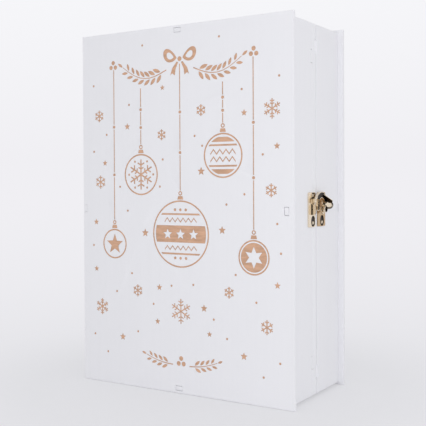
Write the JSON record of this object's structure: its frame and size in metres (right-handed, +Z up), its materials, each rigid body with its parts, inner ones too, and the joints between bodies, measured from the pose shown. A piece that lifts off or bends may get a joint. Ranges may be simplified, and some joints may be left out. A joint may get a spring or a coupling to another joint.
{
  "type": "led advent calendar",
  "caption": "Book-shaped wooden advent calendar: hinged halves with a swing-hook latch, numbered drawers in one half and a lit winter scene in the other.",
  "frame": {"origin": "centre of the base of the whole closed calendar, on the surface it stands on", "axes": "+Z up along the covers' height, -Y out of the front cover, +X from the spine to the latched fore edge"},
  "size_m": [0.2108, 0.0944, 0.295],
  "materials": {
    "white_board": "satin white paint",
    "bare_board": "bare birch board, sanded",
    "scene_board": "matt white paint",
    "brass": "polished gold plate",
    "white_plastic": "moulded",
    "black_plastic": "moulded",
    "cell_jacket": "printed jacket without words",
    "lamp_string": "clear warm lamps on a thin wire"
  },
  "bodies": {
    "back_leaf": {"back_cover": "white_board", "back_top_wall": "white_board", "back_bottom_wall": "white_board", "back_fore_wall": "white_board", "back_spine_wall": "white_board", "rack_upright_1": "bare_board", "rack_upright_2": "bare_board", "rack_upright_3": "bare_board", "rack_shelf_1": "bare_board", "rack_shelf_2": "bare_board", "rack_shelf_3": "bare_board", "rack_shelf_4": "bare_board", "rack_shelf_5": "bare_board", "upper_hinge_back_leaf": "brass", "lower_hinge_back_leaf": "brass", "latch_plate": "brass", "latch_rivet": "brass"},
    "front_leaf": {"front_cover": "white_board", "front_top_wall": "white_board", "front_bottom_wall": "white_board", "front_fore_wall": "white_board", "front_spine_wall": "white_board", "front_rim": "white_board", "scene_backboard": "scene_board", "fir_forest_layer": "scene_board", "village_layer": "scene_board", "led_string": "lamp_string", "battery_case": "white_plastic", "battery_lower": "cell_jacket", "battery_upper": "cell_jacket", "keeper_plate": "brass", "upper_hinge_front_leaf": "brass", "lower_hinge_front_leaf": "brass"},
    "latch_hook": {"latch_hook": "brass"},
    "battery_lid": {"battery_lid": "white_plastic"},
    "light_switch": {"light_switch": "black_plastic"},
    "drawer_04": {"drawer_04": "bare_board"},
    "drawer_11": {"drawer_11": "bare_board"},
    "drawer_18": {"drawer_18": "bare_board"},
    "drawer_01": {"drawer_01": "bare_board"},
    "drawer_08": {"drawer_08": "bare_board"},
    "drawer_15": {"drawer_15": "bare_board"},
    "drawer_22": {"drawer_22": "bare_board"},
    "drawer_05": {"drawer_05": "bare_board"},
    "drawer_12": {"drawer_12": "bare_board"},
    "drawer_19": {"drawer_19": "bare_board"},
    "drawer_02": {"drawer_02": "bare_board"},
    "drawer_09": {"drawer_09": "bare_board"},
    "drawer_16": {"drawer_16": "bare_board"},
    "drawer_23": {"drawer_23": "bare_board"},
    "drawer_06": {"drawer_06": "bare_board"},
    "drawer_13": {"drawer_13": "bare_board"},
    "drawer_20": {"drawer_20": "bare_board"},
    "drawer_03": {"drawer_03": "bare_board"},
    "drawer_10": {"drawer_10": "bare_board"},
    "drawer_17": {"drawer_17": "bare_board"},
    "drawer_24": {"drawer_24": "bare_board"},
    "drawer_07": {"drawer_07": "bare_board"},
    "drawer_14": {"drawer_14": "bare_board"},
    "drawer_21": {"drawer_21": "bare_board"}
  },
  "joints": [
    {"name": "book_hinge", "type": "hinge", "parent": "back_leaf", "child": "front_leaf", "pos_m": [-0.10345, 0.00155, 0.1475], "axis": [0, 0, -1], "range_deg": [0, 180]},
    {"name": "latch_swing", "type": "hinge", "parent": "back_leaf", "child": "latch_hook", "pos_m": [0.09925, 0.00715, 0.1476], "axis": [-1, 0, 0], "range_deg": [-14, 95]},
    {"name": "battery_lid_slide", "type": "slide", "parent": "front_leaf", "child": "battery_lid", "axis": [-1, 0, 0], "range_m": [0, 0.04]},
    {"name": "light_switch_slide", "type": "slide", "parent": "front_leaf", "child": "light_switch", "axis": [0, 0, 1], "range_m": [0, 0.0034]},
    {"name": "drawer_04_slide", "type": "slide", "parent": "back_leaf", "child": "drawer_04", "axis": [0, -1, 0], "range_m": [0, 0.03]},
    {"name": "drawer_11_slide", "type": "slide", "parent": "back_leaf", "child": "drawer_11", "axis": [0, -1, 0], "range_m": [0, 0.03]},
    {"name": "drawer_18_slide", "type": "slide", "parent": "back_leaf", "child": "drawer_18", "axis": [0, -1, 0], "range_m": [0, 0.03]},
    {"name": "drawer_01_slide", "type": "slide", "parent": "back_leaf", "child": "drawer_01", "axis": [0, -1, 0], "range_m": [0, 0.03]},
    {"name": "drawer_08_slide", "type": "slide", "parent": "back_leaf", "child": "drawer_08", "axis": [0, -1, 0], "range_m": [0, 0.03]},
    {"name": "drawer_15_slide", "type": "slide", "parent": "back_leaf", "child": "drawer_15", "axis": [0, -1, 0], "range_m": [0, 0.03]},
    {"name": "drawer_22_slide", "type": "slide", "parent": "back_leaf", "child": "drawer_22", "axis": [0, -1, 0], "range_m": [0, 0.03]},
    {"name": "drawer_05_slide", "type": "slide", "parent": "back_leaf", "child": "drawer_05", "axis": [0, -1, 0], "range_m": [0, 0.03]},
    {"name": "drawer_12_slide", "type": "slide", "parent": "back_leaf", "child": "drawer_12", "axis": [0, -1, 0], "range_m": [0, 0.03]},
    {"name": "drawer_19_slide", "type": "slide", "parent": "back_leaf", "child": "drawer_19", "axis": [0, -1, 0], "range_m": [0, 0.03]},
    {"name": "drawer_02_slide", "type": "slide", "parent": "back_leaf", "child": "drawer_02", "axis": [0, -1, 0], "range_m": [0, 0.03]},
    {"name": "drawer_09_slide", "type": "slide", "parent": "back_leaf", "child": "drawer_09", "axis": [0, -1, 0], "range_m": [0, 0.03]},
    {"name": "drawer_16_slide", "type": "slide", "parent": "back_leaf", "child": "drawer_16", "axis": [0, -1, 0], "range_m": [0, 0.03]},
    {"name": "drawer_23_slide", "type": "slide", "parent": "back_leaf", "child": "drawer_23", "axis": [0, -1, 0], "range_m": [0, 0.03]},
    {"name": "drawer_06_slide", "type": "slide", "parent": "back_leaf", "child": "drawer_06", "axis": [0, -1, 0], "range_m": [0, 0.03]},
    {"name": "drawer_13_slide", "type": "slide", "parent": "back_leaf", "child": "drawer_13", "axis": [0, -1, 0], "range_m": [0, 0.03]},
    {"name": "drawer_20_slide", "type": "slide", "parent": "back_leaf", "child": "drawer_20", "axis": [0, -1, 0], "range_m": [0, 0.03]},
    {"name": "drawer_03_slide", "type": "slide", "parent": "back_leaf", "child": "drawer_03", "axis": [0, -1, 0], "range_m": [0, 0.03]},
    {"name": "drawer_10_slide", "type": "slide", "parent": "back_leaf", "child": "drawer_10", "axis": [0, -1, 0], "range_m": [0, 0.03]},
    {"name": "drawer_17_slide", "type": "slide", "parent": "back_leaf", "child": "drawer_17", "axis": [0, -1, 0], "range_m": [0, 0.03]},
    {"name": "drawer_24_slide", "type": "slide", "parent": "back_leaf", "child": "drawer_24", "axis": [0, -1, 0], "range_m": [0, 0.03]},
    {"name": "drawer_07_slide", "type": "slide", "parent": "back_leaf", "child": "drawer_07", "axis": [0, -1, 0], "range_m": [0, 0.03]},
    {"name": "drawer_14_slide", "type": "slide", "parent": "back_leaf", "child": "drawer_14", "axis": [0, -1, 0], "range_m": [0, 0.03]},
    {"name": "drawer_21_slide", "type": "slide", "parent": "back_leaf", "child": "drawer_21", "axis": [0, -1, 0], "range_m": [0, 0.03]}
  ]
}
